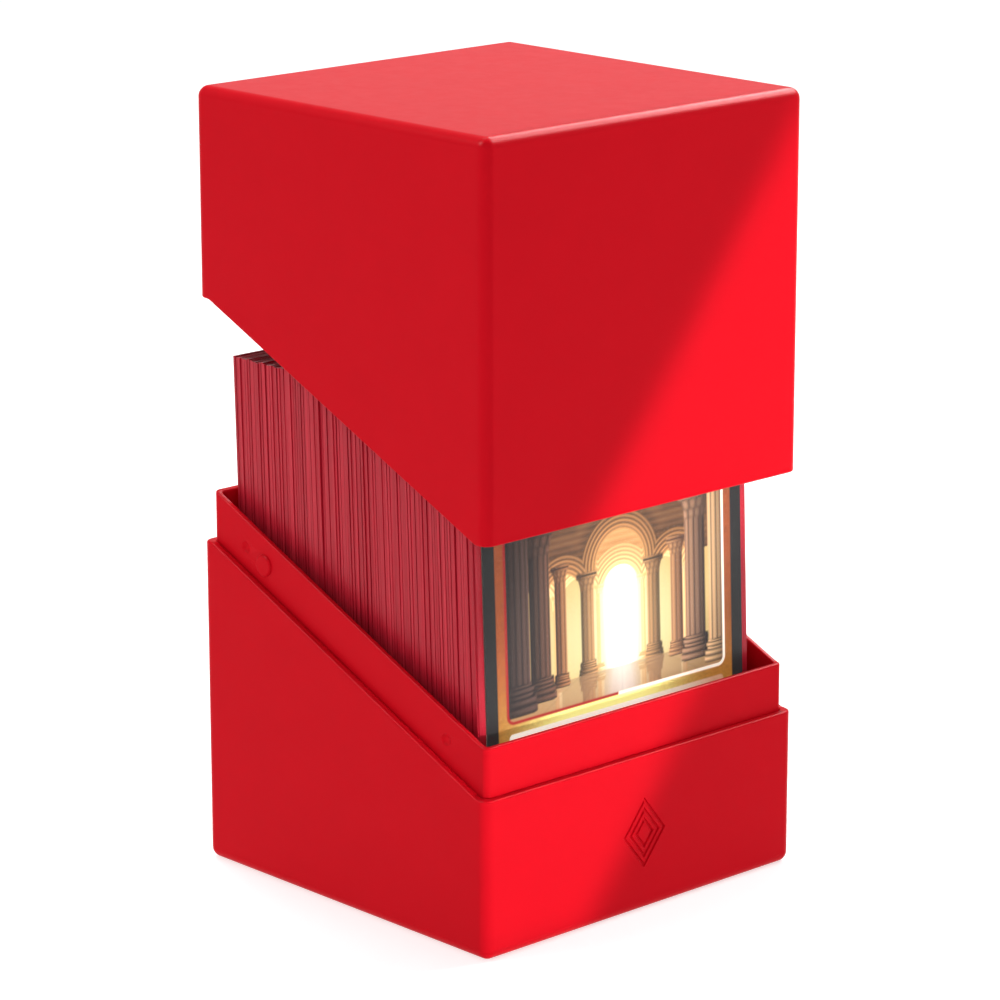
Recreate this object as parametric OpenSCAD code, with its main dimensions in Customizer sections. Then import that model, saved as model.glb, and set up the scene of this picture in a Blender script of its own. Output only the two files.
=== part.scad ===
// Card deck box: a two-part shell with a slanted seam, an inner tray and a deck of sleeved cards.
// Millimetres. The origin is the middle of the underside, the front faces -Y and +Z is up.
// The lid is drawn lifted off its closed place by lid_lift, along the way it slides.

/* [Box] */
// Outside width, left to right
box_w = 76; // [74:1:84]
// Outside depth, front to back
box_d = 75; // [74:1:84]
// Outside height of the closed box
box_h = 98.2; // [97:0.1:110]
// Fillet radius of the outer edges
edge_r = 2; // [1:0.5:3]

/* [Seam] */
// Height of the base shell's edge at the front
seam_front = 29; // [24:1:34]
// Height of the base shell's edge at the back
seam_back = 60.2; // [50:0.1:66]
// Level stretch of the seam at its front and back ends
seam_level = 2.8; // [2:0.1:6]
// Gap left between the lid's edge and the base's edge in the closed box
seam_gap = 0.1; // [0.05:0.05:0.3]

/* [Base shell] */
// Wall thickness of the base shell
base_wall = 1.4; // [1.4:0.1:1.8]
// Floor thickness of the base shell
base_floor = 1.6; // [1.2:0.1:2.4]
// Depth of the sunk ornament on the front
ornament_depth = 0.3; // [0.1:0.05:0.5]

/* [Inner tray] */
// How far the tray's rim stands above the seam
tray_rise = 8.9; // [6:0.1:12]
// Level stretch of the rim at its back end, from the box's back face
tray_level = 1.9; // [1.6:0.1:6]
// Wall thickness of the tray
tray_wall = 1.05; // [0.8:0.05:1.4]
// Floor thickness of the tray
tray_floor = 1.4; // [1:0.1:2]
// Gap between the tray and the base shell
tray_gap = 0.1; // [0.05:0.05:0.2]
// Radius of the tray's outer upright edges
tray_r = 1.2; // [0.8:0.1:2]

/* [Lid] */
// Wall thickness of the lid
lid_wall = 1.25; // [1:0.05:1.25]
// Thickness of the lid's top
lid_top = 1.6; // [1.2:0.1:2]
// How far the lid is lifted off its closed place
lid_lift = 44.6; // [0:0.1:80]

/* [Catches] */
// Diameter of the round catch button on each side of the tray
button_d = 4; // [3:0.5:5]
// How far the catch button stands out of the tray's side
button_out = 0.5; // [0.3:0.05:0.55]
// Diameter of the dimples in the tray's sides
dimple_d = 2.2; // [1.6:0.1:3]
// Depth of the dimples
dimple_depth = 0.45; // [0.2:0.05:0.6]
// How far the lid's pips stand into the lid
pip_out = 0.15; // [0.05:0.05:0.15]

/* [Deck] */
// Number of sleeved cards
card_count = 100; // [60:5:100]
// Width of a card
card_w = 63; // [60:0.5:63]
// Height of a card
card_h = 88; // [80:0.5:88]
// Thickness of a card
card_t = 0.3; // [0.25:0.01:0.3]
// Corner radius of a card
card_r = 3; // [2:0.5:4]
// Width of a sleeve
sleeve_w = 66; // [65:0.5:66]
// Height of a sleeve
sleeve_h = 91; // [90:0.5:91]
// Thickness of one sleeve film
film_t = 0.11; // [0.08:0.01:0.11]
// Width of the welded edge of a sleeve
weld_w = 0.8; // [0.5:0.1:1]
// Distance from one sleeve to the next at the bottom
pitch_bottom = 0.634; // [0.6:0.002:0.634]
// Backward lean of the front card, in degrees
lean_front = 2.2; // [1.8:0.05:2.2]
// Backward lean of the back card, in degrees
lean_back = 1.64; // [1.5:0.02:1.64]
// Distance from the box's front face to the front sleeve's lower edge
deck_start = 5.5; // [5:0.1:6]
// Sleeved cards that share one node
stack_size = 5; // [5:5:5]

/* [Hidden] */
$fn = 64;
STACKS = card_count / stack_size;

plastic = [0.82, 0.07, 0.12];
film_red = [0.6, 0.1, 0.17];
card_stock = [0.9, 0.87, 0.8];
clear_film = [0.9, 0.75, 0.78, 0.3];

front_y = -box_d / 2;
seam_slope = (seam_back - seam_front) / (box_d - 2 * seam_level);
tray_w = box_w - 2 * (base_wall + tray_gap);
tray_d = box_d - 2 * (base_wall + tray_gap);
tray_z = base_floor;
deck_z = tray_z + tray_floor;
sleeve_t = card_t + 2 * film_t + 0.04;
pocket_t = sleeve_t - 2 * film_t;
// Catch places on the tray's sides: [distance behind the front face, height above the seam]
button_at = [59.5, 3.8];
dimples_at = [[64.5, 3.9], [11.7, 4.2]];
// Clearance round the catch button in the lid's slot
slot_play = 0.4;
// Clearance under the deck
deck_play = 0.02;
// Nested lozenges of the ornament: outer size, line width, height of the middle and scale of each line
ornament_h = 13;
ornament_w = 10.4;
ornament_line = 0.5;
ornament_z = 14.6;
ornament_scales = [1, 0.72, 0.44];
// Reach of a cutter past the surface that it cuts
past = 1;

// Height of the seam's slope at a distance behind the front face, in the closed box
function seam_z(y) = seam_front + seam_slope * (y - seam_level);

// Place along the deck of card number i: 0 at the front, 1 at the back
function along(i) = i / (card_count - 1);
function lean(i) = lean_front + (lean_back - lean_front) * along(i);
function card_y(i) = front_y + deck_start + pitch_bottom * i;

// Points of a rectangle with round corners, standing on its lower edge
function round_rect(w, h, r, steps = 6) = [
    for (c = [[1, 1, 0], [-1, 1, 90], [-1, -1, 180], [1, -1, 270]])
        for (s = [0:steps])
            let (a = c[2] + 90 * s / steps)
            [c[0] * (w / 2 - r) + r * cos(a), h / 2 + c[1] * (h / 2 - r) + r * sin(a)]
];

// Flat rectangle with true round corners
module rounded(w, d, r) {
    square([w - 2 * r, d], center = true);
    square([w, d - 2 * r], center = true);
    for (x = [-1, 1]) {
        for (y = [-1, 1]) {
            translate([x * (w / 2 - r), y * (d / 2 - r)]) circle(r);
        }
    }
}

// Upright block with round upright edges, standing at height z
module block(w, d, z, h, r) {
    translate([0, 0, z]) linear_extrude(h) rounded(w, d, r);
}

// The closed box as one solid, with all its outer edges filleted
module closed_box() {
    intersection() {
        block(box_w, box_d, 0, box_h, edge_r);
        translate([0, box_d, box_h / 2]) rotate([90, 0, 0])
            linear_extrude(2 * box_d) rounded(box_w, box_h, edge_r);
        translate([-box_w, 0, box_h / 2]) rotate([90, 0, 90])
            linear_extrude(2 * box_w) rounded(box_d, box_h, edge_r);
    }
}

// Everything under the seam line raised by rise, from wall to wall. The slope ends back_level from the back face.
module under_seam(rise, back_level = seam_level) {
    front_z = seam_front + rise;
    slope_end = box_d - back_level;
    back_z = front_z + seam_slope * (slope_end - seam_level);
    outline = [
        [-past, -past],
        [box_d + past, -past],
        [box_d + past, back_z],
        [slope_end, back_z],
        [seam_level, front_z],
        [-past, front_z]
    ];
    translate([-box_w, front_y, 0]) rotate([90, 0, 90])
        linear_extrude(2 * box_w) polygon(outline);
}

// Puts its children on both sides: at a place behind the front face and above the seam, facing out along X
module on_sides(x, place) {
    for (side = [0, 1]) {
        mirror([side, 0, 0])
            translate([x, front_y + place[0], seam_z(place[0]) + place[1]])
                rotate([0, 90, 0]) children();
    }
}

// A sunk ornament of nested lozenge lines
module ornament() {
    translate([0, front_y, ornament_z]) rotate([90, 0, 0])
        translate([0, 0, -ornament_depth]) linear_extrude(ornament_depth + past)
            for (scale = ornament_scales) lozenge_line(scale);
}

module lozenge(scale) {
    w = ornament_w / 2 * scale;
    h = ornament_h / 2 * scale;
    polygon([[w, 0], [0, h], [-w, 0], [0, -h]]);
}

module lozenge_line(scale) {
    inradius = ornament_w * ornament_h / norm([ornament_w, ornament_h]) / 2;
    difference() {
        lozenge(scale);
        lozenge(scale - ornament_line / inradius);
    }
}

module base_shell() {
    cavity_w = box_w - 2 * base_wall;
    cavity_d = box_d - 2 * base_wall;
    color(plastic) difference() {
        intersection() {
            closed_box();
            under_seam(0);
        }
        block(cavity_w, cavity_d, base_floor, box_h, tray_r + tray_gap);
        ornament();
    }
}

module inner_tray() {
    sphere_r = (pow(dimple_d / 2, 2) + pow(dimple_depth, 2)) / (2 * dimple_depth);
    color(plastic) {
        difference() {
            intersection() {
                block(tray_w, tray_d, tray_z, box_h, tray_r);
                under_seam(tray_rise, tray_level);
            }
            block(tray_w - 2 * tray_wall, tray_d - 2 * tray_wall, deck_z, box_h, tray_r / 2);
            for (place = dimples_at) {
                on_sides(tray_w / 2 + sphere_r - dimple_depth, place) sphere(sphere_r);
            }
        }
        on_sides(tray_w / 2 - tray_wall / 2, button_at) catch_button();
    }
}

// Round catch with a bevelled edge, rooted in the tray's wall
module catch_button() {
    rooted = tray_wall / 2 + button_out / 2;
    cylinder(h = rooted, d = button_d);
    translate([0, 0, rooted]) cylinder(h = button_out / 2, d1 = button_d, d2 = button_d - button_out);
}

module lid_shell() {
    inside_w = box_w - 2 * lid_wall;
    inside_d = box_d - 2 * lid_wall;
    color(plastic) translate([0, 0, lid_lift]) {
        difference() {
            closed_box();
            under_seam(seam_gap);
            block(inside_w, inside_d, -past, box_h - lid_top + past, lid_wall);
            button_slots(inside_w / 2);
        }
        for (place = dimples_at) {
            on_sides(inside_w / 2, place) lid_pip();
        }
    }
}

// Slots in the lid's inner side faces that let it pass the tray's catch buttons
module button_slots(inner_x) {
    slot_w = button_d + 2 * slot_play;
    slot_floor = tray_w / 2 + button_out + 0.2;
    on_sides(inner_x - past, button_at) {
        cylinder(h = slot_floor - inner_x + past, d = slot_w);
        translate([0, -slot_w / 2, 0]) cube([box_h / 4, slot_w, slot_floor - inner_x + past]);
    }
}

// Small cone on the lid's inner side face, rooted in the wall
module lid_pip() {
    root = lid_wall / 2;
    translate([0, 0, -pip_out]) cylinder(h = root + pip_out, d1 = dimple_d / 2, d2 = dimple_d);
}

// Puts its children on card place i: leaning back, with the sleeve's back lower edge just off the tray's floor
module at_card(i) {
    translate([0, card_y(i), deck_z + deck_play + sleeve_t * sin(lean(i))])
        rotate([-lean(i), 0, 0]) children();
}

// Welded pocket of two films, open at its top
module sleeve() {
    difference() {
        translate([-sleeve_w / 2, 0, 0]) cube([sleeve_w, sleeve_t, sleeve_h]);
        translate([-sleeve_w / 2 + weld_w, film_t, weld_w])
            cube([sleeve_w - 2 * weld_w, pocket_t, sleeve_h]);
    }
}

// Card with round corners, standing in the middle of its pocket
module card() {
    rise = (sleeve_h - card_h) / 2;
    play = (pocket_t - card_t) / 2;
    translate([0, film_t + play + card_t, rise]) rotate([90, 0, 0])
        linear_extrude(card_t) polygon(round_rect(card_w, card_h, card_r));
}

// Card numbers in a stack. The front card has nodes of its own, so the first stack is one short.
function numbers(stack) = [for (i = [max(1, (stack - 1) * stack_size):stack * stack_size - 1]) i];

module sleeves(stack) {
    color(film_red) for (i = numbers(stack)) at_card(i) sleeve();
}

module cards(stack) {
    color(card_stock) for (i = numbers(stack)) at_card(i) card();
}

module front_card() {
    color(card_stock) at_card(0) card();
}

// The front sleeve without its clear film
module front_sleeve_back() {
    color(film_red) at_card(0) difference() {
        sleeve();
        translate([-sleeve_w, -past, -past]) cube([2 * sleeve_w, film_t + past, 2 * sleeve_h]);
    }
}

module front_sleeve_window() {
    color(clear_film) at_card(0)
        translate([-sleeve_w / 2, 0, 0]) cube([sleeve_w, film_t, sleeve_h]);
}

base_shell();
inner_tray();
lid_shell();
front_card();
front_sleeve_back();
front_sleeve_window();
for (s = [1:STACKS]) {
    sleeves(s);
    cards(s);
}
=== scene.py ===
"""Looks of a card deck box: two red shells on a slanted seam, an inner tray and a deck of sleeved cards."""

import math
import random

import bmesh
import bpy
import numpy as np
from mathutils import Matrix, Vector
from mathutils.geometry import tessellate_polygon


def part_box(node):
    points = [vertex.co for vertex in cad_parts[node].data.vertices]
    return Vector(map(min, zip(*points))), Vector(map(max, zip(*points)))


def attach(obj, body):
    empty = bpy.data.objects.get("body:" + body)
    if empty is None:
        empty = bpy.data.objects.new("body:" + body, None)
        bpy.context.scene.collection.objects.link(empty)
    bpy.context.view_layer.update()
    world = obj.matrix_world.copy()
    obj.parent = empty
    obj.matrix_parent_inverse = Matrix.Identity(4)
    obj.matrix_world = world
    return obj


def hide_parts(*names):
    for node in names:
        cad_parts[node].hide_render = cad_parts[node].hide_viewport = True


MM = 0.001
SEED = 7

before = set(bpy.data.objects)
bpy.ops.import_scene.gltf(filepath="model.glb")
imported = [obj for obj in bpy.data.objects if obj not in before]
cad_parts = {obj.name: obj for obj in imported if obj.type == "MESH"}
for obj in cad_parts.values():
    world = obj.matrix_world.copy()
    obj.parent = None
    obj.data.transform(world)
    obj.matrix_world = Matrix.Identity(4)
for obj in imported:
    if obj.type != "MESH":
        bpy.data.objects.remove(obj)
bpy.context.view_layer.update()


def in_mm(node):
    """A CAD node's lowest and highest corner, in millimetres."""
    low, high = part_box(node)
    return low / MM, high / MM


# ---------------------------------------------------------------- sizes, in millimetres

_, base_high = in_mm("base_shell")
tray_low, tray_high = in_mm("inner_tray")
lid_low, lid_high = in_mm("lid_shell")

HALF_W = base_high.x
HALF_D = base_high.y
EDGE_R = 2.0  # the shells' outer edges
CORNER_STEPS = 8

SEAM_FRONT = 29.0
SEAM_LEVEL = 2.8  # level stretch of the seam at the front and at the back
SEAM_GAP = 0.1
SEAM_SLOPE = (base_high.z - SEAM_FRONT) / (2 * HALF_D - 2 * SEAM_LEVEL)
KINK_ROUND = 0.5  # the seam's bends are rounded over twice this length

BASE_WALL = 1.4
BASE_INNER_R = 1.3
BASE_FLOOR = tray_low.z
RIM_R = 0.32  # rounding of the rims

TRAY_HALF_W = HALF_W - BASE_WALL - 0.1
TRAY_HALF_D = HALF_D - BASE_WALL - 0.1
TRAY_WALL = 1.05
TRAY_R = 1.2
TRAY_INNER_R = 0.6
TRAY_FLOOR = BASE_FLOOR + 1.4
TRAY_RISE = 8.9
TRAY_LEVEL = 1.9
TRAY_FOOT_R = 0.3
TRAY_BOWL_R = 0.4  # rounding where the tray's floor meets its walls

LID_LIFT = lid_low.z - SEAM_FRONT - SEAM_GAP
LID_WALL = 1.25
LID_TOP = 1.6
LID_INNER_R = 1.25

BUTTON_R = 2.0
BUTTON_OUT = tray_high.x - TRAY_HALF_W
BUTTON_AT = (59.5, 3.8)  # behind the front face, above the seam
DIMPLES_AT = ((64.5, 3.9), (11.7, 4.2))
DIMPLE_R = 1.1
DIMPLE_DEPTH = 0.45
PIP_R = 0.66
PIP_OUT = 0.15
SLOT_HALF = BUTTON_R + 0.4
SLOT_DEPTH = 0.45
CIRCLE_STEPS = 40
ARCH_STEPS = 16  # round the upper end of a slot

ORNAMENT_HALF_W = 5.2
ORNAMENT_HALF_H = 6.5
ORNAMENT_LINE = 0.5
ORNAMENT_Z = 14.6
ORNAMENT_DEPTH = 0.3
ORNAMENT_SOFT = 0.05  # half width of the lines' sloped edges
ORNAMENT_BREAK = 0.06  # depth where those slopes steepen
ORNAMENT_SCALES = (1.0, 0.72, 0.44)

CARD_COUNT = 100
STACK_SIZE = 5
CARD_HALF_W = 31.5
CARD_H = 88.0
CARD_T = 0.3
CARD_R = 3.0
CARD_WEAR = 0.05
SLEEVE_HALF_W = 33.0
SLEEVE_H = 91.0
SLEEVE_T = 0.56
FILM_T = 0.11
WELD_T = 0.53
WELD_W = 0.8
PITCH = 0.634  # from one sleeve to the next
LEAN_FRONT = 2.2  # degrees that the deck leans back
LEAN_BACK = 1.64
DECK_START = 5.5
DECK_PLAY = 0.02
SWELL = 1.5  # from the welds to a filled sleeve's full thickness
WAVE_REACH = 3.0  # how far in from its edges a sleeve waves
POCKET_LEAST = 0.012  # half a pocket's thickness at its thinnest

# ---------------------------------------------------------------- camera

CAMERA_AT = (-0.4960, -0.5306, 0.2615)
YAW, PITCH_DOWN, ROLL = 43.087, 14.921, 0.034
LENS = 150.99


def make_camera():
    camera = bpy.data.cameras.new("camera")
    camera.lens = LENS
    camera.sensor_width = 36
    camera.clip_start = 0.05
    camera.clip_end = 50
    shown = bpy.data.objects.new("camera", camera)
    shown.location = CAMERA_AT
    yaw, pitch, roll = (math.radians(v) for v in (YAW, PITCH_DOWN, ROLL))
    forward = Vector((math.cos(pitch) * math.sin(yaw), math.cos(pitch) * math.cos(yaw), -math.sin(pitch)))
    right = Vector((math.cos(yaw), -math.sin(yaw), 0))
    up = right.cross(forward)
    turned = Matrix((right, up, -forward)).transposed() @ Matrix.Rotation(-roll, 3, "Z")
    shown.rotation_euler = turned.to_euler()
    bpy.context.scene.collection.objects.link(shown)
    bpy.context.scene.camera = shown


# ---------------------------------------------------------------- colours and materials


def linear(red, green, blue):
    """A colour given in display values from 0 to 255, as linear light."""
    shares = np.array([red, green, blue]) / 255
    return np.where(shares <= 0.04045, shares / 12.92, ((shares + 0.055) / 1.055) ** 2.4)


class Nodes:
    """A material's node tree with short calls to add and join nodes."""

    def __init__(self, name):
        self.material = bpy.data.materials.new(name)
        self.material.use_nodes = True
        self.tree = self.material.node_tree
        self.shader = self.tree.nodes["Principled BSDF"]
        self.output = self.tree.nodes["Material Output"]

    def add(self, kind, **settings):
        node = self.tree.nodes.new(kind)
        for key, value in settings.items():
            setattr(node, key, value)
        return node

    def join(self, source, target):
        self.tree.links.new(source, target)

    def set(self, **values):
        for key, value in values.items():
            self.shader.inputs[key.replace("_", " ")].default_value = value

    def noise(self, size, detail=2.0, stretch=(1, 1, 1), offset=(0, 0, 0)):
        """Noise whose lumps are about size millimetres, longer along an axis by its stretch."""
        place = self.add("ShaderNodeTexCoord")
        mapping = self.add("ShaderNodeMapping")
        mapping.inputs["Scale"].default_value = [1 / s for s in stretch]
        mapping.inputs["Location"].default_value = offset
        noise = self.add("ShaderNodeTexNoise")
        noise.inputs["Scale"].default_value = 1 / (size * MM)
        noise.inputs["Detail"].default_value = detail
        self.join(place.outputs["Object"], mapping.inputs["Vector"])
        self.join(mapping.outputs["Vector"], noise.inputs["Vector"])
        return noise.outputs["Fac"]

    def range(self, source, low, high):
        """source, from 0.3 to 0.7, spread from low to high."""
        spread = self.add("ShaderNodeMapRange")
        spread.inputs["From Min"].default_value = 0.3
        spread.inputs["From Max"].default_value = 0.7
        spread.inputs["To Min"].default_value = low
        spread.inputs["To Max"].default_value = high
        self.join(source, spread.inputs["Value"])
        return spread.outputs["Result"]

    def bump(self, source, height):
        """source as relief of a height in millimetres."""
        bump = self.add("ShaderNodeBump")
        bump.inputs["Distance"].default_value = height * MM
        bump.inputs["Strength"].default_value = 1
        self.join(source, bump.inputs["Height"])
        self.join(bump.outputs["Normal"], self.shader.inputs["Normal"])

    def between(self, factor, first, second):
        """A colour between two, by factor."""
        mix = self.add("ShaderNodeMix", data_type="RGBA")
        mix.inputs["A"].default_value = (*first, 1)
        mix.inputs["B"].default_value = (*second, 1)
        self.join(factor, mix.inputs["Factor"])
        return mix.outputs["Result"]


RED = (0.50, 0.0030, 0.0095)
FACING_POWER = 5  # keeps the clear film's mirror to flat angles


def moulded_plastic(name, offset):
    """Satin polypropylene: slightly cloudy colour, uneven gloss and a fine moulded grain."""
    made = Nodes(name)
    cloud = made.noise(9, 3, offset=offset)
    darker = tuple(c * 0.985 for c in RED)
    lighter = tuple(c * 1.01 for c in RED)
    made.join(made.between(made.range(cloud, 0, 1), darker, lighter), made.shader.inputs["Base Color"])
    patches = made.noise(2.4, 4, offset=offset)
    made.join(made.range(patches, 0.31, 0.34), made.shader.inputs["Roughness"])
    made.set(Specular_IOR_Level=0.022)
    made.bump(made.noise(0.35, 1, offset=offset), 0.0006)
    return made.material


def tinted(made, attribute):
    """The colour attribute's output."""
    source = made.add("ShaderNodeVertexColor", layer_name=attribute)
    return source.outputs["Color"]


def sleeve_film():
    """Red polypropylene film with a satin shine and faint upright draw lines."""
    made = Nodes("sleeve_film")
    shade = made.add("ShaderNodeMix", data_type="RGBA", blend_type="MULTIPLY")
    shade.inputs["Factor"].default_value = 1
    streaks = made.noise(0.6, 2, stretch=(1, 1, 60))
    made.join(tinted(made, "tint"), shade.inputs["A"])
    made.join(made.between(made.range(streaks, 0, 1), (0.88,) * 3, (1.06,) * 3), shade.inputs["B"])
    made.join(shade.outputs["Result"], made.shader.inputs["Base Color"])
    made.join(made.range(streaks, 0.34, 0.44), made.shader.inputs["Roughness"])
    made.set(Specular_IOR_Level=0.2)
    made.bump(streaks, 0.01)
    return made.material


def clear_film():
    """Glossy clear film: it lets all through but what its faces mirror at flat angles."""
    made = Nodes("clear_film")
    facing = made.add("ShaderNodeLayerWeight")
    facing.inputs["Blend"].default_value = 0.5
    power = made.add("ShaderNodeMath", operation="POWER")
    power.inputs[1].default_value = FACING_POWER
    made.join(facing.outputs["Facing"], power.inputs[0])
    through = made.add("ShaderNodeBsdfTransparent")
    mirror = made.add("ShaderNodeBsdfGlossy")
    made.join(made.range(made.noise(7, 3), 0.1, 0.17), mirror.inputs["Roughness"])
    both = made.add("ShaderNodeMixShader")
    made.join(power.outputs["Value"], both.inputs["Fac"])
    made.join(through.outputs["BSDF"], both.inputs[1])
    made.join(mirror.outputs["BSDF"], both.inputs[2])
    made.join(both.outputs["Shader"], made.output.inputs["Surface"])
    made.tree.nodes.remove(made.shader)
    return made.material


def card_stock():
    """White card with faint fibres."""
    made = Nodes("card_stock")
    fibres = made.noise(0.5, 5, stretch=(4, 1, 1))
    colour = made.between(made.range(fibres, 0, 1), linear(214, 208, 198), linear(244, 240, 232))
    made.join(colour, made.shader.inputs["Base Color"])
    made.set(Roughness=0.6, Specular_IOR_Level=0.3)
    made.bump(fibres, 0.01)
    return made.material


PAINTED_PRINT_GLOW = 0.75  # painted glow: the print shines with this share of its own colours, over what it scatters


def card_print():
    """Printed card under its varnish, coloured by the print attribute with its painted reflection and shade,
    and given a painted glow of the same colours.
    """
    made = Nodes("card_print")
    shade = made.add("ShaderNodeMix", data_type="RGBA", blend_type="MULTIPLY")
    shade.inputs["Factor"].default_value = 1
    grain = made.noise(0.6, 1)
    made.join(tinted(made, "print"), shade.inputs["A"])
    made.join(made.between(made.range(grain, 0, 1), (0.74,) * 3, (0.76,) * 3), shade.inputs["B"])
    made.join(shade.outputs["Result"], made.shader.inputs["Base Color"])
    # Painted glow: the print's colours also drive its emission, though a card is no lamp.
    made.join(shade.outputs["Result"], made.shader.inputs["Emission Color"])
    made.join(made.range(made.noise(3, 3), 0.34, 0.44), made.shader.inputs["Roughness"])
    made.set(Specular_IOR_Level=0.1, Emission_Strength=PAINTED_PRINT_GLOW)
    made.bump(grain, 0.0002)
    return made.material


# ---------------------------------------------------------------- meshes

WELD_DISTANCE = 1e-6
CREASE = 35  # degrees: edges that bend more stay sharp


def add_piece(mesh, name, material, body, slot, *nodes):
    """Shows a mesh as the piece that stands for CAD nodes and rides on a body."""
    mesh.materials.append(material)
    piece = bpy.data.objects.new(name, mesh)
    bpy.context.scene.collection.objects.link(piece)
    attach(piece, body)
    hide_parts(*nodes)
    return piece


class Shape:
    """Points in millimetres, and the faces between them, of a closed mesh."""

    def __init__(self):
        self.points = []
        self.faces = []

    def ring(self, points):
        """Adds points and returns their numbers."""
        first = len(self.points)
        self.points.extend(points)
        return list(range(first, len(self.points)))

    def strip(self, near, far, closed=True, skip=()):
        """Quads between two rings, apart from those after the points numbered in skip."""
        count = len(near)
        for k in range(count if closed else count - 1):
            if k not in skip:
                after = (k + 1) % count
                self.faces.append((near[k], near[after], far[after], far[k]))

    def loft(self, rings):
        """Strips from each ring to the next. Returns the rings' numbers."""
        added = [self.ring(points) for points in rings]
        for near, far in zip(added, added[1:]):
            self.strip(near, far)
        return added

    def fill(self, outline, holes=()):
        """A flat face, cut into triangles if it has holes."""
        if not holes:
            self.faces.append(tuple(outline))
            return
        loops = [outline, *holes]
        order = [number for loop in loops for number in loop]
        cut = tessellate_polygon([[Vector(self.points[n]) for n in loop] for loop in loops])
        self.faces.extend(tuple(order[n] for n in triangle) for triangle in cut)

    def mesh(self, name):
        """The welded mesh in metres, with even normals and its sharp edges marked."""
        mesh = bpy.data.meshes.new(name)
        mesh.from_pydata([[v * MM for v in point] for point in self.points], [], self.faces)
        work = bmesh.new()
        work.from_mesh(mesh)
        bmesh.ops.remove_doubles(work, verts=work.verts, dist=WELD_DISTANCE)
        bmesh.ops.recalc_face_normals(work, faces=work.faces)
        work.to_mesh(mesh)
        work.free()
        mesh.shade_smooth()
        mesh.set_sharp_from_angle(angle=math.radians(CREASE))
        return mesh


def even_shading(piece):
    """Flat faces stay flat up to the small roundings beside them."""
    normals = piece.modifiers.new("even_shading", "WEIGHTED_NORMAL")
    normals.keep_sharp = True


def ramp(t):
    """0 before the bend at 0 and t after it, rounded over KINK_ROUND on both sides."""
    if abs(t) < KINK_ROUND:
        return (t + KINK_ROUND) ** 2 / (4 * KINK_ROUND)
    return max(t, 0)


def seam(y, rise=0.0, back_level=SEAM_LEVEL):
    """Height at y of the seam line raised by rise: level, then a slope, then level again."""
    slope_start = SEAM_LEVEL - HALF_D
    slope_end = HALF_D - back_level
    return SEAM_FRONT + rise + SEAM_SLOPE * (ramp(y - slope_start) - ramp(y - slope_end))


def bend_places(limit):
    """The places along Y that round the seam's two bends, inside the straight sides that end at limit."""
    bends = (SEAM_LEVEL - HALF_D, HALF_D - SEAM_LEVEL)
    places = [bend + KINK_ROUND * share for bend in bends for share in (-1, -0.5, 0, 0.5, 1)]
    return [y for y in places if abs(y) < limit]


def plan(half_w, half_d, radius, side):
    """Places round a rectangle with round corners, anticlockwise from the front right.
    side holds places (step out, y) on the right side from front to back. The left side mirrors them."""
    places = []

    def corner(x, y, start):
        for k in range(CORNER_STEPS + 1):
            angle = math.radians(start + 90 * k / CORNER_STEPS)
            places.append((x + radius * math.cos(angle), y + radius * math.sin(angle)))

    corner(half_w - radius, radius - half_d, -90)
    places.extend((half_w + out, y) for out, y in side)
    corner(half_w - radius, half_d - radius, 0)
    corner(radius - half_w, half_d - radius, 90)
    places.extend((-half_w - out, y) for out, y in reversed(side))
    corner(radius - half_w, radius - half_d, 180)
    return places


def side_runs(side_count):
    """The numbers of a plan's places along its right side and along its left side, corners' ends included."""
    right = CORNER_STEPS
    left = 3 * CORNER_STEPS + side_count + 2
    return [list(range(first, first + side_count + 2)) for first in (right, left)]


def quarter(steps):
    """Angles over a quarter turn, as (sine, cosine)."""
    turns = [math.pi / 2 * k / steps for k in range(steps + 1)]
    return [(math.sin(a), math.cos(a)) for a in turns]


def upright_circle(x, y, z, radius):
    """Points of a circle that faces along X."""
    turns = [2 * math.pi * k / CIRCLE_STEPS for k in range(CIRCLE_STEPS)]
    return [(x, y + radius * math.cos(a), z + radius * math.sin(a)) for a in turns]


def on_wall(place, lift=0.0):
    """Y and Z of a place given behind the front face and above the seam."""
    y = place[0] - HALF_D
    return y, seam(y) + place[1] + lift


def stud(shape, side, x, place, profile, lift=0.0):
    """A round feature on a side wall at x: rings from profile's (radius, step out), closed by a face.
    Returns the first ring, which is a hole in the wall."""
    y, z = on_wall(place, lift)
    rings = shape.loft([upright_circle(side * (x + out), y, z, radius) for radius, out in profile])
    shape.fill(rings[-1])
    return rings[0]


def shell_ring(half_w, half_d, inset, radius, side, height):
    """Points of a shell's ring: its plan moved in by inset, at the heights that height(y) gives."""
    return [(x, y, height(y)) for x, y in plan(half_w - inset, half_d - inset, radius, side)]


def rim_rings(ring, wall, top):
    """Rings over a wall's rounded rim, from its outer face to its inner one. top(y) is the rim's height."""
    outside = [ring(RIM_R * (1 - c), lambda y, s=s: top(y) - RIM_R * (1 - s)) for s, c in quarter(4)]
    inside = [ring(wall - RIM_R * (1 - s), lambda y, c=c: top(y) - RIM_R * (1 - c)) for s, c in quarter(4)]
    return outside + inside


# ---------------------------------------------------------------- base


def lozenge(scale, depth):
    """Corners of an upright lozenge on the base's front, sunk by depth."""
    w = ORNAMENT_HALF_W * scale
    h = ORNAMENT_HALF_H * scale
    y = depth - HALF_D
    return [(w, y, ORNAMENT_Z), (0, y, ORNAMENT_Z + h), (-w, y, ORNAMENT_Z), (0, y, ORNAMENT_Z - h)]


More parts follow.
